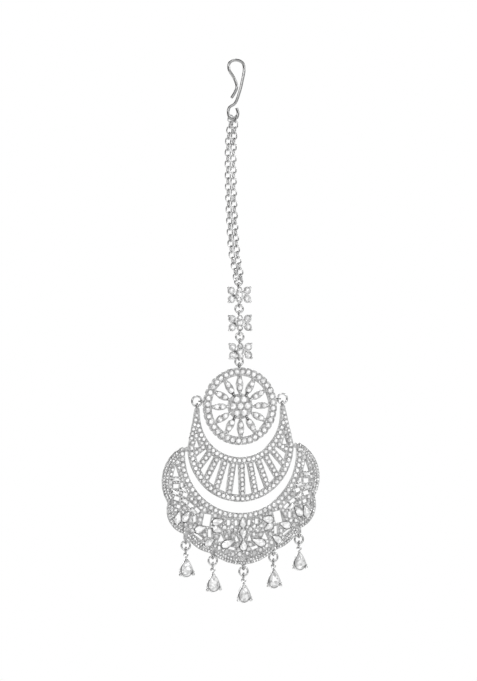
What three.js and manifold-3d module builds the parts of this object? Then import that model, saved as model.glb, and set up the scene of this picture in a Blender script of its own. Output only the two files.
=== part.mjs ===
// A maang tikka, the jewel worn on the parting of the hair: a bent wire hook, two fine chains,
// three linked florets, a round openwork disc, two stone-set crescents soldered tip to tip and
// five pear drops. All sizes are in millimetres. Each piece is drawn facing +Z with +Y up, and
// the outer group turns the whole jewel so that it hangs along -Z and faces -Y.
import * as THREE from "three";
import { mergeVertices } from "three/addons/utils/BufferGeometryUtils.js";
import Module from "manifold-3d";

const wasm = await Module();
wasm.setup();

// Clearances
const ringGap = 0.28;
const wireGap = 0.3;
const strandGap = 0.22;
const gatherGap = 0.38;

// Hook
const hookWire = 0.85;
const hookCrownWidth = 5.9;
const hookCrownHeight = 8.7;
const hookDrop = 16.2;
const hookEyeWidth = 3.0;
const hookEyeHeight = 4.6;
const hookEyeAside = 1.2;
const plumbAside = 0.6;

// Chains
const linkWire = 0.31;
const linkRing = 1.95;
const linkCount = 29;
const strandSpread = 1.7;
const strandDepth = 1.1;
const strandBow = 1.35;
const strandSteps = 18;

// Jump rings and the small loops that hang on them
const ringWire = 0.6;
const loopWire = 0.42;
const endRing = 2.2;
const floretRing = 2.34;
const sideRing = 2.9;
const dropRing = 2.6;

// Plates and stones
const plateThick = 0.9;
const stoneRise = 0.5;
const tableShare = 0.55;
const stoneSink = 0.12;
const pearTaper = 0.72;
const pearRound = 0.35;

// Florets
const floretWide = 7.0;
const floretTall = 4.6;
const floretStone = 2.2;
const floretHeart = 1.7;
const floretPitch = 8.15;
const floretCount = 3;

// Disc
const discWide = 22.6;
const discRim = 2.45;
const discHub = 6.2;
const petalCount = 12;
const petalWide = 2.1;
const rimStones = 36;
const rimStone = 1.65;
const petalStone = 1.45;
const hubStone = 1.75;
const sideRingRise = 1.8;

// Inner crescent
const innerBow = 12.4;
const innerSag = 2.4;
const innerBelly = 16.2;
const innerBellySag = 9.2;
const innerBand = 2.15;
const barCount = 11;
const barWide = 1.9;
const tipWide = 1.2;
const cornerAside = 13.5;
const cornerDrop = 10.2;
const cornerTall = 2.4;
const cornerWide = 1.7;

// Outer crescent
const outerBow = 17.2;
const outerBowSag = 2.2;
const sideField = 6.3;
const lowerField = 15.4;
const tipLift = 0.4;
const tipRim = 0.78;
const solderBite = 0.25;

// Drops
const dropTall = 6.0;
const dropWide = 4.4;
const dropLoop = 1.2;
const dropLink = 2.6;
const dropLinkWide = 1.5;
const lugTall = 1.4;
const lugWide = 1.3;
const lugRoot = 1.0;
const clawWide = 0.7;

// Metal and stone finishes
const silver = { color: 0xd9dbdf, roughness: 0.18, metalness: 1 };
const stoneSet = { color: 0xe6e9ee, roughness: 0.12, metalness: 0.7 };

const plateHalf = plateThick / 2;
const seatUnder = ringWire / 2 + ringGap;
const loopRadius = seatUnder + loopWire / 2;

function finish(look) {
  return new THREE.MeshStandardMaterial({ ...look, flatShading: true });
}

// Geometry helpers
function bare(geometry) {
  const plain = geometry.clone();
  plain.deleteAttribute("normal");
  plain.deleteAttribute("uv");
  return mergeVertices(plain, 1e-4);
}

function solid(geometry) {
  const merged = bare(geometry);
  return new wasm.Manifold(new wasm.Mesh({
    numProp: 3,
    vertProperties: Float32Array.from(merged.attributes.position.array),
    triVerts: Uint32Array.from(merged.index.array),
  }));
}

function fuse(solids) {
  let pool = solids;
  while (pool.length > 1) {
    const next = [];
    for (let i = 0; i < pool.length; i += 2) {
      next.push(i + 1 < pool.length ? pool[i].add(pool[i + 1]) : pool[i]);
    }
    pool = next;
  }
  return pool[0];
}

function mesh(name, body, look) {
  const data = body.getMesh();
  const geometry = new THREE.BufferGeometry();
  geometry.setAttribute("position", new THREE.BufferAttribute(data.vertProperties, 3));
  geometry.setIndex(new THREE.BufferAttribute(data.triVerts, 1));
  geometry.computeVertexNormals();
  const piece = new THREE.Mesh(geometry, finish(look));
  piece.name = name;
  return piece;
}

function placed(geometry, x, y, z = 0, turn = [0, 0, 0]) {
  const spin = new THREE.Quaternion().setFromEuler(new THREE.Euler(...turn));
  const at = new THREE.Vector3(x, y, z);
  return geometry.clone().applyMatrix4(new THREE.Matrix4().compose(at, spin, new THREE.Vector3(1, 1, 1)));
}

const edgeOn = [0, Math.PI / 2, 0];
const levelled = [Math.PI / 2, 0, 0];

// A round wire loop lying in the XY plane, with a flat chord at its top and at its bottom
function wireLoop(radius, wire, sides = 5, segments = 10) {
  return new THREE.TorusGeometry(radius, wire / 2, sides, segments);
}

// A cut stone with a flat table. The outline gives how wide it is at each angle round it.
function gem(long, wide, rise, corners = 8, outline = () => 1, table = tableShare) {
  const stone = new THREE.CylinderGeometry(table, 1, rise + stoneSink, corners);
  stone.rotateX(Math.PI / 2);
  const spots = stone.attributes.position;
  for (let i = 0; i < spots.count; i += 1) {
    const angle = Math.atan2(spots.getY(i), spots.getX(i));
    spots.setX(i, spots.getX(i) * outline(angle) * wide / 2);
    spots.setY(i, spots.getY(i) * long / 2);
    spots.setZ(i, spots.getZ(i) + (rise - stoneSink) / 2);
  }
  return stone;
}

// Pear outline: full width at the round end, drawn in steadily towards the point at +Y
function pear(angle) {
  return 1 - pearTaper * Math.max(0, Math.sin(angle) + pearRound) / (1 + pearRound);
}

function roundStone(wide, x, y) {
  return placed(gem(wide, wide, stoneRise), x, y, plateHalf);
}

function plate(shape, thick = plateThick) {
  const slab = new THREE.ExtrudeGeometry(shape, { depth: thick, bevelEnabled: false });
  return slab.translate(0, 0, -thick / 2);
}

// Outlines and holes both run anticlockwise
function polygon(points) {
  const corners = points.map(([x, y]) => new THREE.Vector2(x, y));
  return new THREE.Shape(THREE.ShapeUtils.isClockWise(corners) ? corners.reverse() : corners);
}

// A plate with openings of the given outlines cut right through it
function cutThrough(slab, outlines) {
  const cutters = outlines.map((outline) => solid(plate(outline, plateThick * 2)));
  return solid(slab).subtract(fuse(cutters));
}

// Points of a circular arc from one angle to another, both in radians from +X
function arcPoints(cx, cy, radius, from, to, steps) {
  return Array.from({ length: steps + 1 }, (_, i) => {
    const angle = from + (to - from) * i / steps;
    return [cx + radius * Math.cos(angle), cy + radius * Math.sin(angle)];
  });
}

// Points of the arc that bulges by rise to the left of the way from a to b, without its last
function bulge([ax, ay], [bx, by], rise, steps) {
  const chord = Math.hypot(bx - ax, by - ay);
  const radius = (chord * chord / 4 + rise * rise) / (2 * rise);
  const half = Math.asin(Math.min(1, chord / 2 / radius));
  const across = [(bx - ax) / chord, (by - ay) / chord];
  const out = [-across[1], across[0]];
  const middle = [(ax + bx) / 2, (ay + by) / 2];
  return Array.from({ length: steps }, (_, i) => {
    const angle = -half + 2 * half * i / steps;
    const along = radius * Math.sin(angle);
    const lift = radius * Math.cos(angle) - (radius - rise);
    return [middle[0] + across[0] * along + out[0] * lift, middle[1] + across[1] * along + out[1] * lift];
  });
}

// The hook: one wire, a sprung crown with a flared end above and a small eye below.
// Each row is a share of the crown's or the eye's half width and height.
const crownRoute = [
  { across: -0.62, down: 1.28 },
  { across: -0.2, down: 1.09 },
  { across: 0.04, down: 0.88 },
  { across: -0.3, down: 0.6 },
  { across: -0.86, down: 0.33 },
  { across: -0.78, down: 0.1 },
  { across: 0, down: 0 },
  { across: 0.8, down: 0.09 },
  { across: 0.98, down: 0.33 },
  { across: 0.7, down: 0.72 },
  { across: 0.42, down: 1.02 },
];
const eyeRoute = [
  { across: 0.55, down: 0.0 },
  { across: -0.7, down: 0.3 },
  { across: -1.0, down: 0.65 },
  { across: -0.6, down: 1.0 },
  { across: 0.6, down: 1.0 },
  { across: 1.0, down: 0.66 },
  { across: 0.72, down: 0.34 },
];
const hookCrownTop = hookWire / 2;
const hookEyeBottom = -hookDrop - hookWire / 2;

function hookRoute() {
  const crown = crownRoute.map(({ across, down }) => new THREE.Vector3(
    across * (hookCrownWidth - hookWire) / 2, hookCrownTop - down * hookCrownHeight, 0));
  const eyeTop = hookEyeBottom + hookEyeHeight;
  const eye = eyeRoute.map(({ across, down }) => new THREE.Vector3(
    -hookEyeAside + across * hookEyeWidth / 2, eyeTop - down * hookEyeHeight, 0));
  return new THREE.CatmullRomCurve3([...crown, ...eye], false, "centripetal");
}

function disk(wide, sides) {
  return polygon(arcPoints(0, 0, wide / 2, 0, 2 * Math.PI * (1 - 1 / sides), sides - 1));
}

function buildHook() {
  const wire = new THREE.ExtrudeGeometry(disk(hookWire, 6), {
    steps: 44, bevelEnabled: false, extrudePath: hookRoute(),
  });
  return mesh("s_hook", solid(wire), silver);
}

// Chains: two strands of fine round links, every next one turned by a quarter
const linkInside = (linkRing - linkWire) / 2;
const linkPitch = 2 * linkInside;
const firstLink = hookEyeBottom + hookWire / 2 + strandGap - linkInside;
const lastLink = firstLink - (linkCount - 1) * linkPitch;
const endRingTop = lastLink - linkInside + ringWire / 2 + gatherGap;

// Where a strand passes, as shares of the length, the bow, the spread and the depth
const strandRoute = [
  { along: 0, bow: 0, spread: 0.85, depth: 0 },
  { along: 0.036, bow: 0.15, spread: 0.87, depth: 0.3 },
  { along: 0.16, bow: 0.7, spread: 1, depth: 1 },
  { along: 0.4, bow: 1, spread: 1, depth: 1 },
  { along: 0.65, bow: 1, spread: 1, depth: 1 },
  { along: 0.84, bow: 0.75, spread: 1, depth: 1 },
  { along: 0.964, bow: 0.12, spread: 0.87, depth: 0.3 },
  { along: 1, bow: 0, spread: 0.85, depth: 0 },
];

function strandCurve(side) {
  const top = -hookEyeAside;
  const bottom = -plumbAside;
  return new THREE.CatmullRomCurve3(strandRoute.map(({ along, bow, spread, depth }) => new THREE.Vector3(
    top + (bottom - top) * along - bow * strandBow + side * spread * strandSpread / 2,
    firstLink + (lastLink - firstLink) * along,
    -side * depth * strandDepth / 2)));
}

// A strand is drawn as a rod on the route of its fine links, clear of the other strand,
// of the hook's eye and of the gathering ring
const strandWide = strandSpread * strandRoute[0].spread - wireGap;
const strandTop = hookEyeBottom - hookWire / 2 - wireGap;
const strandBottom = endRingTop + ringWire / 2 + wireGap;

function buildStrand(name, side) {
  const whole = strandCurve(side);
  const reach = firstLink - lastLink;
  const from = (firstLink - strandTop) / reach;
  const to = (firstLink - strandBottom) / reach;
  const stations = Array.from({ length: strandSteps + 1 }, (_, i) => (
    whole.getPointAt(from + (to - from) * i / strandSteps)));
  const rod = new THREE.ExtrudeGeometry(disk(strandWide, 8), {
    steps: strandSteps, bevelEnabled: false, extrudePath: new THREE.CatmullRomCurve3(stations),
  });
  return mesh(name, solid(rod), silver);
}

function ringMesh(name, wide, x, y, z = 0) {
  return mesh(name, solid(placed(wireLoop(wide / 2, ringWire), x, y, z)), silver);
}

// Distance of a ring's mid chord from its centre
function chord(wide) {
  return wide / 2 * Math.cos(Math.PI / 10);
}

// An edge-on loop that surrounds a ring's wire, at the wire's own place
function hangLoop(x, y, z = 0) {
  return solid(placed(wireLoop(loopRadius, loopWire), x, y, z, edgeOn));
}

// Florets: four petals, a heart and a small stone above and below it, on one cut plate
const endRingY = endRingTop - chord(endRing);
const floretTop = endRingY - chord(endRing) - seatUnder;
const floretY = Array.from({ length: floretCount }, (_, i) => floretTop - floretTall / 2 - i * floretPitch);

function floretShape() {
  const petal = [floretWide / 2 - floretStone / 2, floretTall / 2 - floretStone / 2];
  const stones = [[0, 0, floretStone]];
  for (const [sx, sy] of [[1, 1], [-1, 1], [-1, -1], [1, -1]]) {
    stones.push([sx * petal[0], sy * petal[1], floretStone]);
  }
  const small = floretTall / 2 - floretHeart / 2;
  stones.push([0, small, floretHeart], [0, -small, floretHeart]);
  return stones;
}

function buildFloret(name, backLoop) {
  const parts = [];
  for (const [x, y, wide] of floretShape()) {
    const cup = new THREE.CylinderGeometry(wide / 2 + 0.06, wide / 2 - 0.15, plateThick, 8);
    parts.push(solid(placed(cup, x, y, 0, levelled)));
    parts.push(solid(roundStone(wide * 0.86, x, y)));
  }
  const web = new THREE.BoxGeometry(floretWide * 0.62, floretTall * 0.5, plateThick * 0.7);
  parts.push(solid(web));
  parts.push(hangLoop(0, floretTall / 2 + seatUnder));
  if (backLoop) {
    parts.push(hangLoop(0, -floretTall / 2 + backRise, -plateSet));
  } else {
    parts.push(hangLoop(0, -floretTall / 2 - seatUnder));
  }
  return mesh(name, fuse(parts), stoneSet);
}

// The pendant's plates lie one ring's room behind the florets
const plateSet = plateHalf + ringWire / 2 + wireGap;
const backRise = 0.4;
const swingY = floretY[floretCount - 1] - floretTall / 2 + backRise - 2 * chord(floretRing);
const discY = swingY - seatUnder - discWide / 2;
const sideRingX = Math.sqrt((discWide / 2) ** 2 - sideRingRise ** 2) + wireGap + ringWire / 2 + chord(sideRing);
const crescentY = discY + sideRingRise - chord(sideRing);

// Disc: a scalloped rim, petals on thin stems and a hub, with an opening between petals.
// Each row is a share of the petal's length and of its half width.
const petalOutline = [
  { along: 0.12, half: 0.22 },
  { along: 0.36, half: 0.85 },
  { along: 0.6, half: 1 },
  { along: 0.86, half: 0.6 },
];

function petalGap(index) {
  const step = 2 * Math.PI / petalCount;
  const hub = discHub / 2;
  const rimInside = discWide / 2 - discRim;
  const reach = rimInside - hub;
  const centre = Math.PI / 2 + index * step;
  const side = (axis, sign) => petalOutline.map(({ along, half }) => {
    const r = hub + reach * along;
    const lateral = sign * half * petalWide / 2;
    return [r * Math.cos(axis) - lateral * Math.sin(axis), r * Math.sin(axis) + lateral * Math.cos(axis)];
  });
  const rim = arcPoints(0, 0, rimInside, centre + step * 0.12, centre + step * 0.88, 3);
  return [...side(centre, 1), ...rim, ...side(centre + step, -1).reverse()];
}

function buildDisc() {
  const outline = [];
  for (let i = 0; i < rimStones; i += 1) {
    const at = (i + 0.5) / rimStones * 2 * Math.PI;
    const half = Math.PI / rimStones;
    outline.push(...arcPoints(0, 0, discWide / 2, at - half * 0.5, at + half * 0.5, 1));
    outline.push(...arcPoints(0, 0, discWide / 2 - 0.3, at + half, at + half, 1).slice(0, 1));
  }
  const shape = polygon(outline);
  for (let i = 0; i < petalCount; i += 1) {
    shape.holes.push(polygon(petalGap(i)));
  }
  const parts = [solid(plate(shape))];
  const stone = (wide, radius, angle) => {
    parts.push(solid(roundStone(wide, radius * Math.cos(angle), radius * Math.sin(angle))));
  };
  const rimLine = discWide / 2 - discRim / 2;
  for (let i = 0; i < rimStones; i += 1) {
    stone(rimStone, rimLine, (i + 0.5) / rimStones * 2 * Math.PI);
  }
  const petalLength = discWide / 2 - discRim - discHub / 2;
  for (let i = 0; i < petalCount; i += 1) {
    const angle = Math.PI / 2 + i / petalCount * 2 * Math.PI;
    stone(petalStone, discHub / 2 + petalLength * 0.4, angle);
    stone(petalStone, discHub / 2 + petalLength * 0.74, angle);
  }
  stone(hubStone, 0, 0);
  for (let i = 0; i < 6; i += 1) {
    stone(hubStone, discHub / 2 - hubStone / 2, i / 6 * 2 * Math.PI);
  }
  parts.push(hangLoop(0, discWide / 2 + seatUnder));
  for (const side of [-1, 1]) {
    const wire = new THREE.Vector2(side * (sideRingX - chord(sideRing)), sideRingRise);
    parts.push(solid(placed(wireLoop(loopRadius, loopWire), wire.x, wire.y, 0, levelled)));
  }
  return mesh("disc", fuse(parts), stoneSet);
}

// Inner crescent, drawn about the disc's centre: its bow above, its belly below
const bowY = -innerSag;
const bellyY = bowY - innerBellySag;
const tipTop = crescentY - discY - seatUnder;

function innerShape() {
  const rightTip = [[sideRingX + tipWide / 2, tipTop], [innerBelly * 0.93, bellyY + innerBellySag * 0.55]];
  const belly = arcPoints(0, bellyY, innerBelly, 0, -Math.PI, 28);
  const leftTip = rightTip.map(([x, y]) => [-x, y]).reverse();
  const bow = arcPoints(0, bowY, innerBow, -Math.PI, 0, 26);
  return polygon([...rightTip, ...belly, ...leftTip, [tipWide / 2 - sideRingX, tipTop], ...bow,
    [sideRingX - tipWide / 2, tipTop]]);
}

const barStepBow = 10.4 * Math.PI / 180;
const barStepBelly = 16.7 * Math.PI / 180;

function slot(index) {
  const down = -Math.PI / 2;
  const top = innerBow + innerBand;
  const bottom = innerBelly - innerBand;
  const halfTop = (barStepBow * top - barWide) / 2 / top;
  const halfBottom = (barStepBelly * bottom - barWide) / 2 / bottom;
  const bow = down + barStepBow * index;
  const belly = down + barStepBelly * index;
  return [
    ...arcPoints(0, bowY, top, bow - halfTop, bow + halfTop, 1),
    ...arcPoints(0, bellyY, bottom, belly + halfBottom, belly - halfBottom, 1),
  ];
}

// A small three-sided opening beside the fan of bars, its point up towards the tip
function cornerShape(side) {
  const x = side * cornerAside;
  return polygon([
    [x, cornerTall / 2 - cornerDrop],
    [x - cornerWide / 2, -cornerTall / 2 - cornerDrop],
    [x + cornerWide / 2, -cornerTall / 2 - cornerDrop],
  ]);
}

function buildInner() {
  const shape = innerShape();
  const half = (barCount - 1) / 2;
  for (let i = -half; i < half; i += 1) {
    shape.holes.push(polygon(slot(i + 0.5)));
  }
  return cutThrough(plate(shape), [-1, 1].map(cornerShape));
}

// Outer crescent: notches between its lobes, as shares of its half width and of its height
// below the tips, each with how far the lobe above it bulges
const lobes = [
  { across: 0.957, down: 0.452, rise: 0.155 },
  { across: 0.74, down: 0.715, rise: 0.098 },
  { across: 0.396, down: 0.885, rise: 0.051 },
];
const chinRise = 0.155;
const outerTop = bellyY + tipLift;
const outerBowY = bellyY - outerBowSag;
const lobeWide = 2 * (outerBow + sideField);
const lobeTall = tipLift + outerBowSag + outerBow + lowerField;
const solderWide = outerBow - innerBelly + 2 * solderBite;
const lobeAt = [
  [outerBow + tipRim, outerTop],
  ...lobes.map(({ across, down }) => [across * lobeWide / 2, outerTop - down * lobeTall]),
];

// Openings of the field, one side of the mirror. A tall triangle has its point up.
const windows = [
  { across: 0.85, down: 0.19, long: 3.4, wide: 2.0, turn: 0, corners: 3 },
  { across: 0.85, down: 0.317, long: 1.2, wide: 1.8, turn: 0, corners: 4 },
  { across: 0.775, down: 0.309, long: 1.1, wide: 0.9, turn: 0, corners: 4 },
  { across: 0.845, down: 0.418, long: 1.1, wide: 1.8, turn: 20, corners: 4 },
  { across: 0.735, down: 0.39, long: 1.1, wide: 1.6, turn: 25, corners: 4 },
  { across: 0.825, down: 0.485, long: 0.9, wide: 1.3, turn: 25, corners: 4 },
  { across: 0.664, down: 0.483, long: 1.2, wide: 1.9, turn: 40, corners: 4 },
  { across: 0.583, down: 0.523, long: 1.1, wide: 1.9, turn: 45, corners: 4 },
  { across: 0.622, down: 0.594, long: 1.7, wide: 1.0, turn: 0, corners: 4 },
  { across: 0.464, down: 0.607, long: 3.4, wide: 2.4, turn: 12, corners: 4 },
  { across: 0.432, down: 0.715, long: 2.2, wide: 1.1, turn: 0, corners: 4 },
  { across: 0.578, down: 0.735, long: 0.7, wide: 3.2, turn: 38, corners: 4 },
  { across: 0.183, down: 0.636, long: 1.4, wide: 1.1, turn: 0, corners: 4 },
  { across: 0.086, down: 0.642, long: 1.4, wide: 1.0, turn: 0, corners: 4 },
  { across: 0.285, down: 0.757, long: 2.2, wide: 2.2, turn: 0, corners: 3 },
  { across: 0.085, down: 0.765, long: 2.0, wide: 1.6, turn: 0, corners: 3 },
  { across: 0.31, down: 0.84, long: 1.0, wide: 1.0, turn: 0, corners: 4 },
  { across: 0.15, down: 0.85, long: 0.7, wide: 2.2, turn: 15, corners: 4 },
];

// Main stones of the field, one side of the mirror. A pear's point lies along its turn.
const fieldStones = [
  { across: 0.855, down: 0.262, long: 1.1, wide: 2.3, turn: 0, cut: "baguette" },
  { across: 0.86, down: 0.37, long: 1.1, wide: 2.2, turn: 15, cut: "baguette" },
  { across: 0.755, down: 0.35, long: 1.1, wide: 1.9, turn: 20, cut: "baguette" },
  { across: 0.745, down: 0.443, long: 1.1, wide: 2.4, turn: 35, cut: "baguette" },
  { across: 0.64, down: 0.53, long: 1.1, wide: 2.2, turn: 45, cut: "baguette" },
  { across: 0.84, down: 0.575, long: 3.9, wide: 2.2, turn: 18, cut: "pear" },
  { across: 0.735, down: 0.57, long: 3.6, wide: 2.2, turn: 40, cut: "pear" },
  { across: 0.555, down: 0.678, long: 3.6, wide: 2.2, turn: 75, cut: "pear" },
  { across: 0.325, down: 0.625, long: 3.6, wide: 2.2, turn: 80, cut: "pear" },
  { across: 0.335, down: 0.69, long: 3.2, wide: 2.0, turn: 115, cut: "pear" },
  { across: 0.44, down: 0.79, long: 3.4, wide: 2.0, turn: 55, cut: "pear" },
  { across: 0.2, down: 0.808, long: 4.4, wide: 2.3, turn: 70, cut: "pear" },
];
const middleStones = [
  { down: 0.64, long: 3.0, wide: 2.0, turn: 0 },
  { down: 0.735, long: 3.0, wide: 2.1, turn: 180 },
  { down: 0.83, long: 3.0, wide: 2.4, turn: 0 },
];

function outerShape() {
  const flip = ([x, y]) => [-x, y];
  const way = [...lobeAt, ...lobeAt.map(flip).reverse()];
  const rises = [...lobes.map((lobe) => lobe.rise), chinRise];
  const rise = (i) => lobeWide / 2 * rises[Math.min(i, 2 * lobes.length - i)];
  const points = way.slice(1).flatMap((to, i) => bulge(way[i], to, rise(i), 8));
  const tilt = Math.asin((outerTop - 0.5 - outerBowY) / outerBow);
  return polygon([...points, way[way.length - 1],
    ...arcPoints(0, outerBowY, outerBow, -Math.PI - tilt, tilt, 30)]);
}

function fieldSpot({ across = 0, down }, side) {
  return [side * across * lobeWide / 2, outerTop - down * lobeTall];
}

function windowShape(row, side) {
  const [x, y] = fieldSpot(row, side);
  const corners = row.corners === 3
    ? [[0, 0.5], [-0.5, -0.5], [0.5, -0.5]]
    : [[-0.5, 0.5], [-0.5, -0.5], [0.5, -0.5], [0.5, 0.5]];
  const turn = side * THREE.MathUtils.degToRad(row.turn);
  return polygon(corners.map(([cx, cy]) => {
    const px = cx * row.wide;
    const py = cy * row.long;
    return [x + px * Math.cos(turn) - py * Math.sin(turn), y + px * Math.sin(turn) + py * Math.cos(turn)];
  }));
}

function fieldStone(row, side) {
  const [x, y] = fieldSpot(row, side);
  const outline = row.cut === "baguette" ? () => 1 : pear;
  const stone = gem(row.long, row.wide, stoneRise, 8, outline);
  return solid(placed(stone, x, y, plateHalf, [0, 0, side * THREE.MathUtils.degToRad(row.turn)]));
}

// How far a hanging loop's root stands below the plate's edge
function lugReach(lug) {
  return lug ? lugTall : 0.2;
}

function dropHangers() {
  const chin = lobeAt[3][1] - chinRise * lobeWide / 2;
  return [
    { x: -lobeAt[2][0], y: lobeAt[2][1], lug: true },
    { x: -lobeAt[3][0], y: lobeAt[3][1], lug: false },
    { x: 0, y: chin, lug: false },
    { x: lobeAt[3][0], y: lobeAt[3][1], lug: false },
    { x: lobeAt[2][0], y: lobeAt[2][1], lug: true },
  ];
}

function buildCrescents() {
  const cuts = [-1, 1].flatMap((side) => windows.map((row) => windowShape(row, side)));
  const parts = [buildInner(), cutThrough(plate(outerShape()), cuts)];
  for (const side of [-1, 1]) {
    const bead = new THREE.CylinderGeometry(solderWide / 2, solderWide / 2, plateThick, 8);
    parts.push(solid(placed(bead, side * (innerBelly + outerBow) / 2, bellyY - 0.3, 0, levelled)));
    parts.push(hangLoop(side * sideRingX, crescentY - discY));
    parts.push(...fieldStones.map((row) => fieldStone(row, side)));
  }
  parts.push(...middleStones.map((row) => fieldStone({ ...row, cut: "pear" }, 1)));
  for (const { x, y, lug } of dropHangers()) {
    const reach = lugReach(lug);
    const tab = new THREE.BoxGeometry(lugWide, reach + lugRoot, plateThick * 0.8);
    parts.push(solid(placed(tab, x, y - (reach - lugRoot) / 2, 0)));
    parts.push(hangLoop(x, y - reach - seatUnder));
  }
  return mesh("crescents", fuse(parts), stoneSet);
}

// Drops: a ring in the crescent's loop, an upright link and a pear in its setting
const dropSpots = dropHangers().map(({ x, y, lug }) => {
  const wire = y - lugReach(lug) - seatUnder;
  return { x, ring: wire - chord(dropRing) };
});

function linkTop(ring) {
  return ring - chord(dropRing) + seatUnder + loopWire / 2;
}

function buildDropLink(name, x, ring) {
  const half = (dropLink - loopWire) / 2;
  const wide = (dropLinkWide - loopWire) / 2;
  const link = wireLoop(wide, loopWire);
  const spots = link.attributes.position;
  for (let i = 0; i < spots.count; i += 1) {
    const y = spots.getY(i);
    spots.setY(i, Math.abs(y) < 0.1 ? y : y + Math.sign(y) * (half - wide));
  }
  return mesh(name, solid(placed(link, x, linkTop(ring) - half, 0, edgeOn)), silver);
}

function buildDrop(name, x, ring) {
  const loopY = linkTop(ring) - (dropLink - loopWire);
  const middle = loopY - dropLoop / 2 - dropTall / 2;
  const parts = [solid(placed(wireLoop(dropLoop / 2, loopWire), x, loopY))];
  const setting = gem(dropTall, dropWide, plateThick - stoneSink, 12, pear, 1);
  parts.push(solid(placed(setting, x, middle, -plateHalf + stoneSink)));
  const crown = gem(dropTall * 0.9, dropWide * 0.88, stoneRise * 2, 12, pear);
  parts.push(solid(placed(crown, x, middle, plateHalf)));
  parts.push(solid(placed(crown, x, middle, -plateHalf, [0, Math.PI, 0])));
  for (const side of [-1, 1]) {
    const claw = new THREE.CylinderGeometry(clawWide / 2, clawWide / 2, plateThick * 1.5, 6);
    parts.push(solid(placed(claw, x + side * dropWide * 0.47, middle - dropTall * 0.3, 0, levelled)));
  }
  const neck = new THREE.CylinderGeometry(loopWire, loopWire * 1.5, dropLoop, 6);
  parts.push(solid(placed(neck, x, loopY - dropLoop / 2 - dropLoop * 0.5, 0)));
  return mesh(name, fuse(parts), stoneSet);
}

// Assembly
const jewel = new THREE.Group();
jewel.rotation.x = Math.PI / 2;
jewel.add(buildHook());
jewel.add(buildStrand("chain_strand_left", -1));
jewel.add(buildStrand("chain_strand_right", 1));

const florets = new THREE.Group();
florets.position.x = -plumbAside;
florets.add(ringMesh("chain_end_ring", endRing, 0, endRingY));
floretY.forEach((y, i) => {
  const floret = buildFloret(`floret_${i + 1}`, i === floretCount - 1);
  floret.position.y = y;
  florets.add(floret);
  if (i < floretCount - 1) {
    const ringY = y - floretTall / 2 - seatUnder - chord(floretRing);
    florets.add(ringMesh(`floret_ring_${i + 1}`, floretRing, 0, ringY));
  }
});
florets.add(ringMesh(`floret_ring_${floretCount}`, floretRing, 0, swingY + chord(floretRing), -plateSet));
jewel.add(florets);

const pendant = new THREE.Group();
pendant.position.set(-plumbAside, discY, -plateSet);
pendant.add(buildDisc());
pendant.add(ringMesh("side_ring_left", sideRing, -sideRingX, sideRingRise));
pendant.add(ringMesh("side_ring_right", sideRing, sideRingX, sideRingRise));
pendant.add(buildCrescents());
dropSpots.forEach(({ x, ring }, i) => {
  pendant.add(ringMesh(`drop_ring_${i + 1}`, dropRing, x, ring));
  pendant.add(buildDropLink(`drop_link_${i + 1}`, x, ring));
  pendant.add(buildDrop(`drop_${i + 1}`, x, ring));
});
jewel.add(pendant);

const maangTikka = new THREE.Group();
maangTikka.add(jewel);

export default maangTikka;
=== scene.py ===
# %% [markdown]
# # A maang tikka in silver tone and clear stones
# The jewel hangs from a small wire hook in the parting of the hair. Two fine chains carry three
# florets, then a round openwork disc, and from the disc hang two crescents that are soldered tip
# to tip, with five pear drops below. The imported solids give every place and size, so they are
# loaded first and measured. All lengths here are in metres, with a short name for a millimetre.

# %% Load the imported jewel
import math
import bpy
import numpy as np
from mathutils import Matrix, Vector


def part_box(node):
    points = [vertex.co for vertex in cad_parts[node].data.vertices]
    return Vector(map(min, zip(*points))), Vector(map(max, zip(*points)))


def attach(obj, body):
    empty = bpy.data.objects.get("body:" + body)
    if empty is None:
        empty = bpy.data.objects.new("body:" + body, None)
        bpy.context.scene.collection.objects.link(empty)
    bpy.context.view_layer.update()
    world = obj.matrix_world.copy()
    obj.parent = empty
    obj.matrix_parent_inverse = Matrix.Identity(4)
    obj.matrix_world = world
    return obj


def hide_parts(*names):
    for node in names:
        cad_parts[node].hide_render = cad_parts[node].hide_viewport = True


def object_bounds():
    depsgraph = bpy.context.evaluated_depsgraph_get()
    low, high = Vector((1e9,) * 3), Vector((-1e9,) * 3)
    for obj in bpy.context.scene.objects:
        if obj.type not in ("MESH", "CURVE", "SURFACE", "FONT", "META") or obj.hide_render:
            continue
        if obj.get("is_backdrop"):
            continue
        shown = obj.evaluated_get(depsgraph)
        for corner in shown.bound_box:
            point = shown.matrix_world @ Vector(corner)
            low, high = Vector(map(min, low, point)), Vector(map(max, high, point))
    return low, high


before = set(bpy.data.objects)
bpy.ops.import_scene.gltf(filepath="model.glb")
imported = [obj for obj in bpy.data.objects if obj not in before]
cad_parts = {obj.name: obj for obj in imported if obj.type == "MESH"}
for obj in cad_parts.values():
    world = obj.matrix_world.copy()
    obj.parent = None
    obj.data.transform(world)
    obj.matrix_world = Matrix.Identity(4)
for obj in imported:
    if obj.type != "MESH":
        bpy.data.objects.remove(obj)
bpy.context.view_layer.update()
MM = 0.001

# %% [markdown]
# ## The jewel's own measures
# Everything hangs on one plumb line a little left of the hook's top. The florets lie in the plane
# of that line, and the disc and crescents lie one ring's room behind it. These numbers repeat the
# solids' sizes, so that stones and beads land on the metal that carries them.

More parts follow.
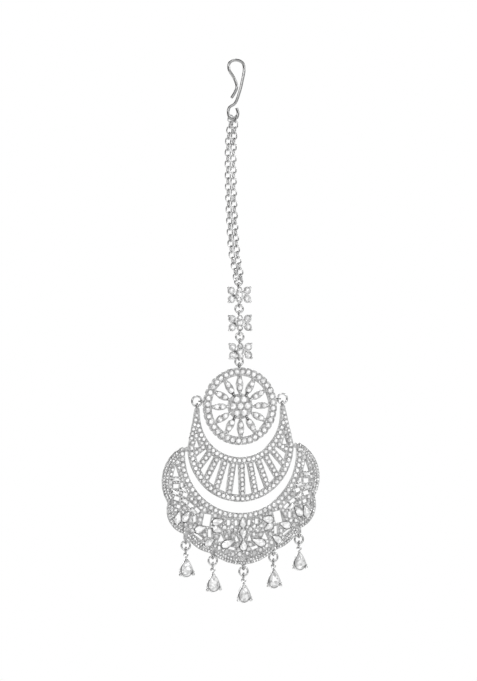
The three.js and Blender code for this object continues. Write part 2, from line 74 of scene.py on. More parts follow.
# %% Measures
PLUMB = -0.6
BACK = 1.05
DISC_Z = -100.138
FLORETS_Z = (-67.832, -75.982, -84.132)
INNER_BOW_Z = DISC_Z - 2.4
BELLY_Z = DISC_Z - 11.6
OUTER_BOW_Z = DISC_Z - 13.8
OUTER_TOP_Z = DISC_Z - 11.2
LOBE_WIDE, LOBE_TALL = 47.0, 35.2
HALF_PLATE = 0.45
PLATE_FRONT = BACK - HALF_PLATE
PLATE_BACK = BACK + HALF_PLATE
BOTH = (-1, 1)
CHAIN, DISC, CRESCENT = "hanging_chain", "disc_pendant", "crescent_pendant"
print("plumb line", PLUMB, "disc centre", DISC_Z)

# %% [markdown]
# ## Small workshop helpers
# A piece is modelled about the origin in millimetres, put in its place, and its place is then
# written into its mesh. Copies each get a mesh of their own. Pieces of one kind on one carrier are
# joined, because a row of pavé stones is one piece to the eye as it is on the bench.

# %% Helpers for selecting and joining
def deselect_all():
    for thing in bpy.context.selected_objects:
        thing.select_set(False)


def only(thing):
    deselect_all()
    thing.select_set(True)
    bpy.context.view_layer.objects.active = thing
    return thing


def named(name):
    thing = bpy.context.active_object
    thing.name = name
    thing.data.name = name
    return only(thing)


def settle(thing):
    """Writes the object's place and size into its mesh, and turns millimetres into metres."""
    only(thing)
    thing.data.transform(Matrix.Scale(MM, 4) @ thing.matrix_world)
    thing.matrix_world = Matrix.Identity(4)
    return thing


def joined(name, things):
    deselect_all()
    for thing in things:
        thing.select_set(True)
    bpy.context.view_layer.objects.active = things[0]
    if len(things) > 1:
        bpy.ops.object.join()
    return named(name)


def copies(model, places):
    """One copy of the model, with its own mesh, for each placing matrix. The model goes."""
    made = []
    for place in places:
        twin = model.copy()
        twin.data = model.data.copy()
        twin.data.transform(place)
        bpy.context.scene.collection.objects.link(twin)
        made.append(twin)
    bpy.data.objects.remove(model)
    return made


print("joining ready")

# %% [markdown]
# ## Finishing a piece
# A finished piece gets one finish, the body that it moves with, and the solids whose place it takes. Two
# more helpers place a piece and pick its faces.

# %% Helpers for placing, picking and dressing
def smooth(thing, degrees=40):
    only(thing)
    bpy.ops.object.shade_smooth_by_angle(angle=math.radians(degrees))
    return thing


def dress(thing, material, body, replaced=()):
    """Gives a finished piece its finish, its body and the solids it stands for."""
    thing.data.materials.clear()
    thing.data.materials.append(material)
    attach(thing, body)
    if replaced:
        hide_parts(*replaced)
    print(thing.name, len(thing.data.polygons), "faces")
    return thing


def at(x, y, z, turn=0.0):
    """A placing matrix: turned about the way the jewel faces, then moved."""
    return Matrix.Translation((x, y, z)) @ Matrix.Rotation(turn, 4, "Y")


HALF_ROUND = Matrix.Rotation(math.pi, 4, "Z")


def in_place(thing):
    """Writes the object's place into its mesh."""
    thing.data.transform(thing.matrix_world)
    thing.matrix_world = Matrix.Identity(4)
    return thing


def pick_faces(thing, test):
    """Selects the faces that pass the test, and stays in edit mode."""
    only(thing)
    bpy.ops.object.mode_set(mode="EDIT")
    bpy.ops.mesh.select_all(action="DESELECT")
    bpy.ops.mesh.select_mode(type="FACE")
    bpy.ops.object.mode_set(mode="OBJECT")
    for face in thing.data.polygons:
        face.select = test(face)
    bpy.ops.object.mode_set(mode="EDIT")


print("placing and dressing ready")

# %% [markdown]
# ## Shared effects for the finishes
# Silver-toned plating is drawn bright on its crowns; the plate between the stones, the collars and the bars
# by the hub are drawn grey as painted shade.
# One group gives a fine uneven tone that several finishes use, with its own strength and scale.

# %% The tarnish group
def values(node, constants):
    """Sets a node's constants directly on its sockets."""
    for socket, value in constants.items():
        node.inputs[socket].default_value = value
    return node


def wire_up(links, *ways):
    """Links nodes: each way names a node and its output, then a node and its input."""
    for source, output, target, socket in ways:
        links.new(source.outputs[output], target.inputs[socket])


def build_tarnish():
    group = bpy.data.node_groups.new("uneven_tone", "ShaderNodeTree")
    for socket, start in (("Scale", 600.0), ("Bright", 1.0), ("Dark", 0.5)):
        made = group.interface.new_socket(socket, in_out="INPUT", socket_type="NodeSocketFloat")
        made.default_value = start
    for socket in ("Tone", "Height"):
        group.interface.new_socket(socket, in_out="OUTPUT", socket_type="NodeSocketFloat")
    nodes, links = group.nodes, group.links
    enter, leave = nodes.new("NodeGroupInput"), nodes.new("NodeGroupOutput")
    where = nodes.new("ShaderNodeTexCoord")
    broad = values(nodes.new("ShaderNodeTexNoise"), {"Detail": 4.0})
    fine = values(nodes.new("ShaderNodeTexNoise"), {"Scale": 5200.0, "Detail": 3.0})
    spread = values(nodes.new("ShaderNodeMapRange"), {"From Min": 0.35, "From Max": 0.65})
    wire_up(links, (where, "Object", broad, "Vector"), (where, "Object", fine, "Vector"),
            (enter, "Scale", broad, "Scale"), (broad, "Fac", spread, "Value"),
            (enter, "Dark", spread, "To Min"), (enter, "Bright", spread, "To Max"),
            (spread, "Result", leave, "Tone"), (fine, "Fac", leave, "Height"))
    return group


uneven_tone = build_tarnish()
print("group", uneven_tone.name)

# %% [markdown]
# ## The finishes
# Plated wire is smooth and mirror-like. The plates are the same metal, duller, with painted shade darkening
# them between the stones. A stone is clear and backed with foil, so it is drawn as a very glossy pale body
# that keeps each facet flat: some facets catch the light and others go grey, as on the real jewel.

# %% Metal
def finish(name):
    made = bpy.data.materials.new(name)
    made.use_nodes = True
    return made, made.node_tree.nodes, made.node_tree.links


def grey(nodes, links, source, shader):
    """Takes one value for red, green and blue alike, as the finish's colour."""
    shade = nodes.new("ShaderNodeCombineColor")
    for channel in ("Red", "Green", "Blue"):
        links.new(source, shade.inputs[channel])
    links.new(shade.outputs["Color"], shader.inputs["Base Color"])


DENT = 0.02
DULLER, GLOSSIER = 1.5, 0.75


def metal(name, bright, dark, rough, grain, bump):
    """Plated metal: its tone wanders from dark to bright, and it is glossier where it is bright."""
    made, nodes, links = finish(name)
    shader = values(nodes["Principled BSDF"], {"Metallic": 1.0})
    tone = nodes.new("ShaderNodeGroup")
    tone.node_tree = uneven_tone
    values(tone, {"Scale": grain, "Bright": bright, "Dark": dark})
    gloss = values(nodes.new("ShaderNodeMapRange"), {"To Min": rough * DULLER, "To Max": rough * GLOSSIER})
    dents = values(nodes.new("ShaderNodeBump"), {"Strength": bump, "Distance": DENT * MM})
    grey(nodes, links, tone.outputs["Tone"], shader)
    wire_up(links, (tone, "Tone", gloss, "Value"), (gloss, "Result", shader, "Roughness"),
            (tone, "Height", dents, "Height"), (dents, "Normal", shader, "Normal"))
    return made


# Each row: bright and dark tone, roughness, scale of the unevenness, strength of the dents.
wire_silver = metal("plated_wire", 0.72, 0.5, 0.14, 300.0, 0.02)
hook_silver = metal("drawn_wire", 0.42, 0.32, 0.1, 80.0, 0.0)
ring_silver = metal("ring_wire", 0.68, 0.5, 0.1, 100.0, 0.0)
# The plate's darker tone is painted shade between the stones.
plate_silver_painted_shade = metal("plate_silver_painted_shade", 0.6, 0.27, 0.24, 1300.0, 0.3)
bead_silver = metal("bead_silver", 1.0, 0.5, 0.18, 1100.0, 0.12)
# The bars' dark tone is painted shade of the hollow by the hub.
bar_painted_shade = metal("shaded_bar", 0.24, 0.1, 0.34, 900.0, 0.4)
# The collars' dark tone is painted shade around the large stones.
collar_painted_shade = metal("shaded_collar", 0.4, 0.15, 0.26, 1100.0, 0.1)
print("metals", len(bpy.data.materials))

# %% [markdown]
# ## Clear stones on foil
# Small cells paint each spot of a stone a bright or a grey tone: painted glints and painted grey
# reflections standing in for facets that catch the light. A painted shade line darkens a stone where it
# sinks into its setting. That line is found from the distance to the middle plane of the plate: base is
# where the metal ends, and edge is how far the shade reaches up the stone.

# %% Stone
GIRDLE_SHADE = 0.12
CELLS = 1500.0


def crystal(name, bright, dark, mirror, middle, base, edge):
    """A clear stone on foil, with painted glints in its colour and a painted shade line where it sinks into
    its setting.
    """
    made, nodes, links = finish(name)
    shader = values(nodes["Principled BSDF"], {"Metallic": mirror, "IOR": 1.7, "Coat Weight": 0.5,
                                               "Coat Roughness": 0.03})
    where, place = nodes.new("ShaderNodeTexCoord"), nodes.new("ShaderNodeSeparateXYZ")
    cells, split = nodes.new("ShaderNodeTexVoronoi"), nodes.new("ShaderNodeSeparateColor")
    values(cells, {"Scale": CELLS})
    # The cells' bright and dark tones are painted glints and grey reflections of the facets.
    spread = values(nodes.new("ShaderNodeMapRange"), {"To Min": dark, "To Max": bright})
    gloss = values(nodes.new("ShaderNodeMapRange"), {"To Min": 0.04, "To Max": 0.14})
    # Painted shade: the colour goes dark near the plate's middle plane, where the stone sinks into its
    # setting.
    girdle = values(nodes.new("ShaderNodeMapRange"), {
        "From Min": base * MM, "From Max": (base + edge) * MM, "To Min": GIRDLE_SHADE, "To Max": 1.0})
    shift, depth, tone_with_painted_shade = (nodes.new("ShaderNodeMath") for _ in range(3))
    shift.operation, depth.operation, tone_with_painted_shade.operation = "SUBTRACT", "ABSOLUTE", "MULTIPLY"
    values(shift, {1: middle * MM})
    wire_up(links, (where, "Object", cells, "Vector"), (where, "Object", place, "Vector"),
            (place, "Y", shift, 0), (shift, "Value", depth, 0), (depth, "Value", girdle, "Value"),
            (cells, "Color", split, "Color"), (split, "Red", spread, "Value"),
            (spread, "Result", tone_with_painted_shade, 0), (girdle, "Result", tone_with_painted_shade, 1))
    grey(nodes, links, tone_with_painted_shade.outputs["Value"], shader)
    wire_up(links, (split, "Green", gloss, "Value"), (gloss, "Result", shader, "Roughness"))
    return made


# Each row: bright and dark tone of the painted facet glints, mirror, middle plane, base and edge of the
# painted shade line in mm.
pave_stone = crystal("clear_pave", 1.0, 0.42, 0.25, BACK, 0.45, 0.14)
row_stone = crystal("clear_row", 1.0, 0.62, 0.25, BACK, 0.45, 0.22)
floret_stone = crystal("clear_floret", 0.98, 0.42, 0.25, 0, 0.42, 0.14)
large_stone = crystal("clear_large", 1.0, 0.55, 0.22, BACK, 0.45, 0.18)
drop_stone = crystal("clear_drop", 0.96, 0.42, 0.25, BACK, 0.42, 0.3)
print("finishes", len(bpy.data.materials))

# %% [markdown]
# ## A cut stone
# A brilliant has a flat table, slanting crown facets and a girdle that the claws hold. A cone
# with its tip cut off gives girdle and table. Turning the table by half a facet against the
# girdle breaks each sloping side into two triangles, which is what makes a crown sparkle.

# %% Cut stones
CONE_TIP = 1.14
PEAR_FROM = 0.35


def cut_stone(name, wide, rise, sides=8, table=0.56, pear=0.0, long=None, square=0.0):
    """A crown standing on the plane y = 0 and rising towards the front, -Y.

    pear narrows the upper end, and square pulls the outline out to a rectangle.
    """
    long = long or wide
    bpy.ops.mesh.primitive_cone_add(vertices=sides, radius1=0.5, radius2=0.5 * table, depth=1,
                                    location=(0, 0, 0.5))
    stone = in_place(named(name))
    pick_faces(stone, lambda face: face.normal.z > 0.9)
    bpy.ops.transform.rotate(value=math.pi / sides, orient_axis="Z", center_override=(0, 0, 0))
    bpy.ops.mesh.inset(thickness=0.07)
    bpy.ops.transform.translate(value=(0, 0, CONE_TIP - 1))
    bpy.ops.object.mode_set(mode="OBJECT")
    pick_faces(stone, lambda face: abs(face.normal.z) < 0.9)
    bpy.ops.mesh.quads_convert_to_tris()
    bpy.ops.object.mode_set(mode="OBJECT")
    for corner in stone.data.vertices:
        x, z = corner.co.x * 2, corner.co.y * 2
        draw = 1 - pear * max(0.0, z + PEAR_FROM) / (1 + PEAR_FROM)
        filled = 1 + square * (math.hypot(x, z) / max(abs(x), abs(z), 1e-6) - 1)
        across, up = x * filled * draw * wide / 2, z * filled * long / 2
        corner.co = Vector((across, -corner.co.z * rise / CONE_TIP, up))
    bpy.context.view_layer.update()
    return stone


def bead(name, wide, rings=2):
    """A ball of metal with its back cut flat."""
    bpy.ops.mesh.primitive_ico_sphere_add(subdivisions=rings, radius=wide / 2)
    grain = named(name)
    pick_faces(grain, lambda face: face.center.y > wide * 0.3)
    bpy.ops.mesh.delete(type="FACE")
    bpy.ops.mesh.select_mode(type="EDGE")
    bpy.ops.mesh.select_all(action="DESELECT")
    bpy.ops.mesh.select_non_manifold()
    bpy.ops.mesh.fill()
    bpy.ops.object.mode_set(mode="OBJECT")
    return grain


sample = cut_stone("sample", 1.6, 0.5)
print("one stone has", len(sample.data.polygons), "facets")
bpy.data.objects.remove(sample)

# %% [markdown]
# ## The hook
# One wire bent to a sprung crown with a small eye below. A curve with a round section is the
# natural way to draw bent wire: it is drawn through the few points that set its shape, turned to
# a mesh, and its cut ends are closed.

# %% Wire along a route
def wire_through(name, points, wide, resolution, sides):
    bpy.ops.curve.primitive_nurbs_path_add()
    path = bpy.context.active_object
    spline = path.data.splines[0]
    spline.points.add(len(points) - len(spline.points))
    for point, place in zip(spline.points, points):
        point.co = (*place, 1)
    spline.order_u = 3
    spline.use_endpoint_u = True
    path.data.resolution_u = resolution
    path.data.bevel_depth = wide / 2
    path.data.bevel_resolution = sides
    path.data.use_fill_caps = True
    only(path)
    bpy.ops.object.convert(target="MESH")
    wire = named(name)
    bpy.ops.object.mode_set(mode="EDIT")
    bpy.ops.mesh.select_all(action="SELECT")
    bpy.ops.mesh.remove_doubles(threshold=0.001)
    bpy.ops.mesh.normals_make_consistent(inside=False)
    bpy.ops.object.mode_set(mode="OBJECT")
    return wire


def through(points, steps):
    """Points of a smooth curve that passes through the given ones."""
    ends = [points[0] * 2 - points[1], *points, points[-1] * 2 - points[-2]]
    made = []
    for a, b, c, d in zip(ends, ends[1:], ends[2:], ends[3:]):
        for i in range(steps):
            t = i / steps
            made.append(0.5 * (2 * b + (c - a) * t + (2 * a - 5 * b + 4 * c - d) * t * t
                               + (3 * b - a - 3 * c + d) * t ** 3))
    return made + [points[-1]]


CROWN = ((-0.62, 1.28), (-0.2, 1.09), (0.04, 0.88), (-0.3, 0.6), (-0.86, 0.33), (-0.78, 0.1),
         (0, 0), (0.8, 0.09), (0.98, 0.33), (0.7, 0.72), (0.42, 1.02))
EYE = ((0.55, 0), (-0.7, 0.3), (-1, 0.65), (-0.6, 1), (0.6, 1), (1, 0.66), (0.72, 0.34))
HOOK_WIRE, HOOK_WIDE, HOOK_TOP, CROWN_TALL = 0.85, 5.9, 0.34, 8.6
EYE_X, EYE_HALF, EYE_TALL = -1.2, 1.5, 4.6
EYE_BOTTOM = -16.2 - HOOK_WIRE / 2
hook_points = [Vector((a * (HOOK_WIDE - HOOK_WIRE) / 2, 0, HOOK_TOP - d * CROWN_TALL)) for a, d in CROWN]
hook_points += [Vector((a * EYE_HALF + EYE_X, 0, EYE_BOTTOM + EYE_TALL - d * EYE_TALL)) for a, d in EYE]
hook = wire_through("hook", through(hook_points, 5), HOOK_WIRE, 2, 4)
smooth(settle(hook))
dress(hook, hook_silver, CHAIN, ["s_hook"])

# %% [markdown]
# ## Rings and links
# Jump rings are short lengths of wire closed to a circle, and a torus is that shape. A link is
# the same ring drawn out: its upper half is moved up and its lower half down. Each ring replaces
# the plain one of the solids at the same place and size.

# %% Jump rings
def jump_ring(name, wide, wire, place, edge_on=False, long=None, around=32, section=10):
    bpy.ops.mesh.primitive_torus_add(major_radius=wide / 2, minor_radius=wire / 2,
                                     major_segments=around, minor_segments=section,
                                     rotation=(math.pi / 2, 0, 0))
    ring = in_place(named(name))
    drawn = ((long or wide) - wide) / 2
    pick_faces(ring, lambda face: face.center.z > 0)
    bpy.ops.transform.translate(value=(0, 0, drawn))
    bpy.ops.mesh.select_all(action="INVERT")
    bpy.ops.transform.translate(value=(0, 0, -drawn))
    bpy.ops.object.mode_set(mode="OBJECT")
    if edge_on:
        ring.data.transform(Matrix.Rotation(math.pi / 2, 4, "Z"))
    ring.data.transform(Matrix.Translation(place))
    return ring


def node_centre(node):
    low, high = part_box(node)
    return (low + high) / (2 * MM)


def ring_for(node, wide, wire, body):
    ring = jump_ring(node.replace("_ring", "_jump_ring"), wide, wire, node_centre(node))
    return dress(smooth(settle(ring)), ring_silver, body, [node])


ring_for("chain_end_ring", 2.2, 0.6, CHAIN)
for i in (1, 2, 3):
    ring_for(f"floret_ring_{i}", 2.34, 0.6, CHAIN)
for side in ("left", "right"):
    ring_for(f"side_ring_{side}", 2.9, 0.6, DISC)
for i in range(1, 6):
    ring_for(f"drop_ring_{i}", 2.6, 0.6, CRESCENT)

# %% [markdown]
# ## The chains
# Each strand is a row of fine, slightly long rings, every next one turned by a quarter, so that one
# shows its face and the next its edge. The links are real rings that pass through each other. The
# two strands are out of step by one link, so a face lies beside an edge where they draw close.

# %% Two strands of links
LINK_WIDE, LINK_LONG, LINK_WIRE, LINKS = 1.56, 2.1, 0.45, 29
PITCH = 1.64
FIRST_DROP = 0.22
FIRST_Z = EYE_BOTTOM + HOOK_WIRE / 2 + FIRST_DROP - PITCH / 2
ROUTE = ((0, 0, 0.85), (0.036, 0.15, 0.87), (0.16, 0.7, 1), (0.4, 1, 1), (0.65, 1, 1),
         (0.84, 0.75, 1), (0.964, 0.12, 0.87), (1, 0, 0.85))
BOW, SPREAD = 1.35, 1.7


def strand_spots(side):
    """The place of each link of a strand and the way that it hangs."""
    reach = (LINKS - 1) * PITCH
    turns = [Vector((EYE_X + (PLUMB - EYE_X) * along - bow * BOW + side * spread * SPREAD / 2, 0,
                     FIRST_Z - reach * along)) for along, bow, spread in ROUTE]
    fine = through(turns, 24)
    gone = [0.0]
    for a, b in zip(fine, fine[1:]):
        gone.append(gone[-1] + (b - a).length)
    spots, j = [], 0
    for i in range(LINKS):
        want = gone[-1] * i / (LINKS - 1)
        while j < len(gone) - 2 and gone[j + 1] < want:
            j += 1
        share = (want - gone[j]) / (gone[j + 1] - gone[j])
        spots.append((fine[j].lerp(fine[j + 1], share), (fine[j + 1] - fine[j]).normalized()))
    return spots


for side, word, start in ((-1, "left", 0), (1, "right", 1)):
    link = jump_ring("link", LINK_WIDE, LINK_WIRE, Vector(), False, LINK_LONG, 20, 8)
    places = []
    for i, (spot, way) in enumerate(strand_spots(side)):
        lean = Matrix.Rotation(math.atan2(-way.x, -way.z), 4, "Y")
        quarter = Matrix.Rotation(math.pi / 2 * ((i + start) % 2), 4, "Z")
        places.append(Matrix.Translation(spot) @ lean @ quarter)
    strand = joined(f"chain_{word}", copies(link, places))
    dress(smooth(settle(strand)), wire_silver, CHAIN, [f"chain_strand_{word}"])

# %% [markdown]
# ## The florets
# Each floret has four petals, a heart and a smaller stone above and below, every stone in a
# little round cup with a lip and tiny claws. A cup is a cylinder that is narrowed behind and
# inset in front. A web joins the cups, and wire loops above and below take the jump rings.

# %% Cups and wire loops
CUP_TALL, CUP_FRONT, BACK_SHARE = 0.95, -0.5, 0.82


def cup(wide):
    bpy.ops.mesh.primitive_cylinder_add(vertices=20, radius=wide / 2, depth=CUP_TALL,
                                        location=(0, 0, -CUP_FRONT - CUP_TALL / 2))
    made = named("cup")
    made.data.transform(Matrix.Rotation(math.pi / 2, 4, "X") @ made.matrix_world)
    made.matrix_world = Matrix.Identity(4)
    pick_faces(made, lambda face: face.normal.y > 0.9)
    bpy.ops.transform.resize(value=(BACK_SHARE, 1, BACK_SHARE), center_override=(0, 0, 0))
    bpy.ops.object.mode_set(mode="OBJECT")
    pick_faces(made, lambda face: face.normal.y < -0.9)
    bpy.ops.mesh.inset(thickness=0.1)
    bpy.ops.transform.translate(value=(0, 0.12, 0))
    bpy.ops.object.mode_set(mode="OBJECT")
    return made


def loop_wire(place, wide=1.58, edge_on=True):
    return jump_ring("loop", wide, 0.42, place, edge_on, None, 24, 8)


def bevelled_bar(name, size, offset):
    """A block with its edges bevelled."""
    bpy.ops.mesh.primitive_cube_add(size=1)
    bar = named(name)
    bar.data.transform(Matrix.Diagonal((*size, 1)))
    bpy.ops.object.mode_set(mode="EDIT")
    bpy.ops.mesh.select_all(action="SELECT")
    bpy.ops.mesh.bevel(offset=offset, segments=2)
    bpy.ops.object.mode_set(mode="OBJECT")
    return bar


print("cups", CUP_TALL, "mm deep")

# %% [markdown]
# ## Three florets
# All three are made by one function, each at its own height. The lowest has its lower loop
# further back, for the ring that carries the disc.

# %% Florets
PETAL_X, PETAL_Z, SMALL_Z = 2.4, 1.2, 1.45
PETAL_WIDE, SMALL_WIDE = 2.2, 1.7
STONES = [(0, 0, PETAL_WIDE), (PETAL_X, PETAL_Z, PETAL_WIDE), (-PETAL_X, PETAL_Z, PETAL_WIDE),
          (-PETAL_X, -PETAL_Z, PETAL_WIDE), (PETAL_X, -PETAL_Z, PETAL_WIDE),
          (0, SMALL_Z, SMALL_WIDE), (0, -SMALL_Z, SMALL_WIDE)]
FLORET_HALF, LOOP_OUT, LAST_LOOP_IN = 2.3, 0.58, 0.4
CLAW_RING = 0.46
CORNER_X, CORNER_Z = 3.3, 2.05


def make_floret(number, z):
    metal_parts, stones = [], []
    for x, up, wide in STONES:
        metal_parts += copies(cup(wide + 0.1), [at(PLUMB + x, 0, z + up)])
        gem = cut_stone("gem", wide * 0.88, 0.5, 10)
        stones += copies(gem, [at(PLUMB + x, CUP_FRONT + 0.1, z + up)])
        claws = bead("claw", 0.36)
        spots = [(x + wide * CLAW_RING * math.cos(a), up + wide * CLAW_RING * math.sin(a))
                 for a in (math.pi / 4 + math.pi / 2 * k for k in range(4))]
        metal_parts += copies(claws, [at(PLUMB + u, CUP_FRONT - 0.06, z + v) for u, v in spots])
    corner = bead("claw", 0.8)
    metal_parts += copies(corner, [at(PLUMB + u * CORNER_X, CUP_FRONT, z + v * CORNER_Z)
                                   for u in BOTH for v in BOTH])
    web = bevelled_bar("web", (4.3, 0.6, 2.3), 0.12)
    web.data.transform(at(PLUMB, 0, z))
    metal_parts.append(web)
    lower = (0, -FLORET_HALF - LOOP_OUT) if number < 3 else (BACK, -FLORET_HALF + LAST_LOOP_IN)
    for y, up in ((0, FLORET_HALF + LOOP_OUT), lower):
        metal_parts.append(loop_wire(Vector((PLUMB, y, z + up))))
    body = joined(f"floret_setting_{number}", metal_parts)
    dress(smooth(settle(body)), bead_silver, CHAIN, [f"floret_{number}"])
    gems = joined(f"floret_stones_{number}", stones)
    dress(settle(gems), floret_stone, CHAIN)


for number, z in enumerate(FLORETS_Z, 1):
    make_floret(number, z)

# %% [markdown]
# ## Rows of stones on the disc
# The disc's rim carries a ring of round stones, each petal two, and the hub a rosette of seven.
# The plate with its openings is the solid itself. Every stone here is a cut crown that covers
# the plain one of the solid, with small grains of metal between the stones of the rim.

# %% The disc
def row_of(name, wide, spots, body, rise=0.58):
    stone = cut_stone("stone", wide, rise)
    places = [at(x, PLATE_FRONT, z, turn) for x, z, turn in spots]
    whole = joined(name, copies(stone, places))
    return dress(settle(whole), row_stone, body)


def grains(name, wide, spots, body, rings=2):
    grain = bead("grain", wide, rings)
    whole = joined(name, copies(grain, [at(x, PLATE_FRONT, z) for x, z in spots]))
    return dress(smooth(settle(whole), 80), bead_silver, body)


def polar(radius, degrees, centre=DISC_Z):
    angle = math.radians(degrees)
    return PLUMB + radius * math.cos(angle), centre + radius * math.sin(angle)


RIM_RADIUS, PETAL_RADII, HUB_RADIUS = 10.075, (5.4, 7.355), 2.225
GRAIN_RADII, JOIN_RADII = (10.85, 9.25), (3.55, 4.1, 8.4)
rim = [(*polar(RIM_RADIUS, (i + 0.5) * 10), math.radians(i * 10)) for i in range(36)]
petals = [(*polar(r, 90 + i * 30), math.radians(i * 30)) for i in range(12) for r in PETAL_RADII]
hub = [(*polar(0, 0), 0)] + [(*polar(HUB_RADIUS, i * 60), math.radians(i * 60)) for i in range(6)]
row_of("disc_rim_stones", 1.72, rim, DISC)
row_of("disc_petal_stones", 1.86, petals, DISC)
row_of("disc_hub_stones", 2.14, hub, DISC)
grains("disc_rim_grains", 0.5, [polar(r, i * 10) for i in range(36) for r in GRAIN_RADII], DISC)
joins = [polar(r, 90 + i * 30) for i in range(12) for r in JOIN_RADII]
grains("disc_stem_grains", 0.6, joins, DISC)

# %% [markdown]
# ## The four dark stems
# Four of the petals' stems, those beside the two upright ones, are little bars drawn dark as painted shade
# of the hollow by the hub. A bar is a block with its edges bevelled, laid along the petal's line.

# %% Dark stems
STEM_RADIUS, STEM_SIZE = 4.0, (1.7, 0.5, 0.72)


def make_stem(degrees):
    bar = bevelled_bar("bar", STEM_SIZE, 0.14)
    x, z = polar(STEM_RADIUS, degrees)
    bar.data.transform(at(x, PLATE_FRONT, z, -math.radians(degrees)))
    return bar


stems = joined("disc_dark_stems", [make_stem(angle) for angle in (60, 120, 240, 300)])
dress(smooth(settle(stems)), bar_painted_shade, DISC)

# %% [markdown]
# ## Stones of the inner crescent
# Rows of small round stones follow the bow above and the belly below, and a fan of eleven bars
# joins them, each bar a single file of stones. The rows are worked out along the arcs, so the
# stones keep an even spacing.

# %% The inner crescent
BOW_RADIUS, BELLY_RADIUS = 13.35, 15.25
BAR_TOP, BAR_FOOT = 14.3, 14.35
BOW_STEP, BELLY_STEP = 10.4, 16.7


def arc_row(radius, centre, start, end, pitch):
    """Spots along an arc, in degrees from start to end."""
    count = max(2, round(abs(math.radians(end - start)) * radius / pitch) + 1)
    steps = [start + (end - start) * i / (count - 1) for i in range(count)]
    return [(*polar(radius, angle, centre), math.radians(angle)) for angle in steps]


def line_row(a, b, pitch):
    """Spots along a straight line."""
    count = max(1, round(math.dist(a, b) / pitch))
    return [(a[0] + (b[0] - a[0]) * (i + 0.5) / count, a[1] + (b[1] - a[1]) * (i + 0.5) / count, 0)
            for i in range(count)]


bow_row = arc_row(BOW_RADIUS, INNER_BOW_Z, -168, -12, 1.46)
belly_row = arc_row(BELLY_RADIUS, BELLY_Z, -174, -6, 1.5)
bar_rows = []
for i in range(-5, 6):
    top = polar(BAR_TOP, -90 + BOW_STEP * i, INNER_BOW_Z)
    foot = polar(BAR_FOOT, -90 + BELLY_STEP * i, BELLY_Z)
    bar_rows.append(line_row(top, foot, 1.38))
bars = [spot for row in bar_rows for spot in row]
TIP_TOP, TIP_FOOT = (13.3, DISC_Z - 1.6), (15.3, BELLY_Z + 2.2)
tips = []
for side in BOTH:
    high, low = ((PLUMB + side * out, z) for out, z in (TIP_TOP, TIP_FOOT))
    tips += line_row(high, low, 1.4)
row_of("inner_bow_stones", 1.42, bow_row, CRESCENT, 0.46)
row_of("inner_belly_stones", 1.46, belly_row, CRESCENT, 0.42)
row_of("inner_bar_stones", 1.38, bars, CRESCENT, 0.42)
row_of("inner_tip_stones", 1.2, tips, CRESCENT, 0.38)

# %% [markdown]
# ## Shared claws
# Where two stones of a row meet, a pair of small claws holds both. Each claw is a bead of metal
# pushed over the edges, one on either side of the row.

# %% Claws between the stones of a row
def claws_between(rows, apart):
    """Two spots beside each gap of a row, where neighbours share a pair of claws."""
    spots = []
    for row in rows:
        for (ax, az, _), (bx, bz, _) in zip(row, row[1:]):
            reach = math.dist((ax, az), (bx, bz))
            spots += [((ax + bx + s * (az - bz) / reach * apart) / 2,
                       (az + bz + s * (bx - ax) / reach * apart) / 2) for s in BOTH]
    return spots


grains("inner_bar_claws", 0.46, claws_between(bar_rows, 1.42), CRESCENT)
grains("inner_row_claws", 0.46, claws_between([bow_row, belly_row], 1.36), CRESCENT)

# %% [markdown]
# ## The outer crescent
# Its scalloped edge carries a double row of beads. The edge is worked out again from the same
# notches and bulges as the solid, drawn in by about half a bead for the outer row and by one and
# a half for the inner row. A notch has its shares of the half width and height, and its bulge's rise.

# %% The beaded edge
LOBES = ((0.765, 0, 0), (0.957, 0.452, 0.155), (0.74, 0.715, 0.098), (0.396, 0.885, 0.051))
CHIN = 0.155
NOTCH_SHARE = 0.35


def bulge(a, b, rise):
    """The arc from a to b that stands out by rise: centre, radius, way out and half angle."""
    a, b = Vector(a), Vector(b)
    chord = (b - a).length
    radius = (chord * chord / 4 + rise * rise) / (2 * rise)
    along = (b - a) / chord
    out = Vector((-along.y, along.x))
    centre = (a + b) / 2 - out * (radius - rise)
    half = math.asin(min(1, chord / 2 / radius))
    return centre, radius, out, half


def edge_row(inset, pitch):
    """Spots along the scalloped edge, drawn in by inset."""
    right = [(a * LOBE_WIDE / 2, OUTER_TOP_Z - d * LOBE_TALL) for a, d, _ in LOBES]
    way = right + [(-x, z) for x, z in reversed(right)]
    rises = [r for _, _, r in LOBES[1:]]
    rises = rises + [CHIN] + rises[::-1]
    spots = []
    for a, b, rise in zip(way, way[1:], rises):
        centre, radius, out, half = bulge(a, b, rise * LOBE_WIDE / 2)
        middle = math.atan2(out.y, out.x)
        inner = radius - inset
        reach = half - inset * NOTCH_SHARE / radius
        count = max(2, round(2 * reach * inner / pitch))
        for i in range(count):
            angle = middle + reach - 2 * reach * (i + 0.5) / count
            x = PLUMB + centre.x + inner * math.cos(angle)
            spots.append((x, centre.y + inner * math.sin(angle)))
    return spots


BEAD_PITCH = 0.86
grains("outer_edge_beads", 0.82, edge_row(0.5, BEAD_PITCH), CRESCENT)
grains("outer_second_beads", 0.8, edge_row(1.35, BEAD_PITCH), CRESCENT)
OUTER_BOW_RADIUS = 18.05
inner_row = arc_row(OUTER_BOW_RADIUS, OUTER_BOW_Z, -182, 2, 1.56)
row_of("outer_bow_stones", 1.46, inner_row, CRESCENT, 0.42)
grains("outer_bow_claws", 0.46, claws_between([inner_row], 1.3), CRESCENT)

# %% [markdown]
# ## The field of the outer crescent
# Between the bow row and the beads lie baguettes like the rungs of a ladder, then pears that fan
# out towards the lobes. One table gives both halves, since the crescent is its own mirror image. A
# row holds two shares, across and down, then a length and a width, and a turn in degrees.

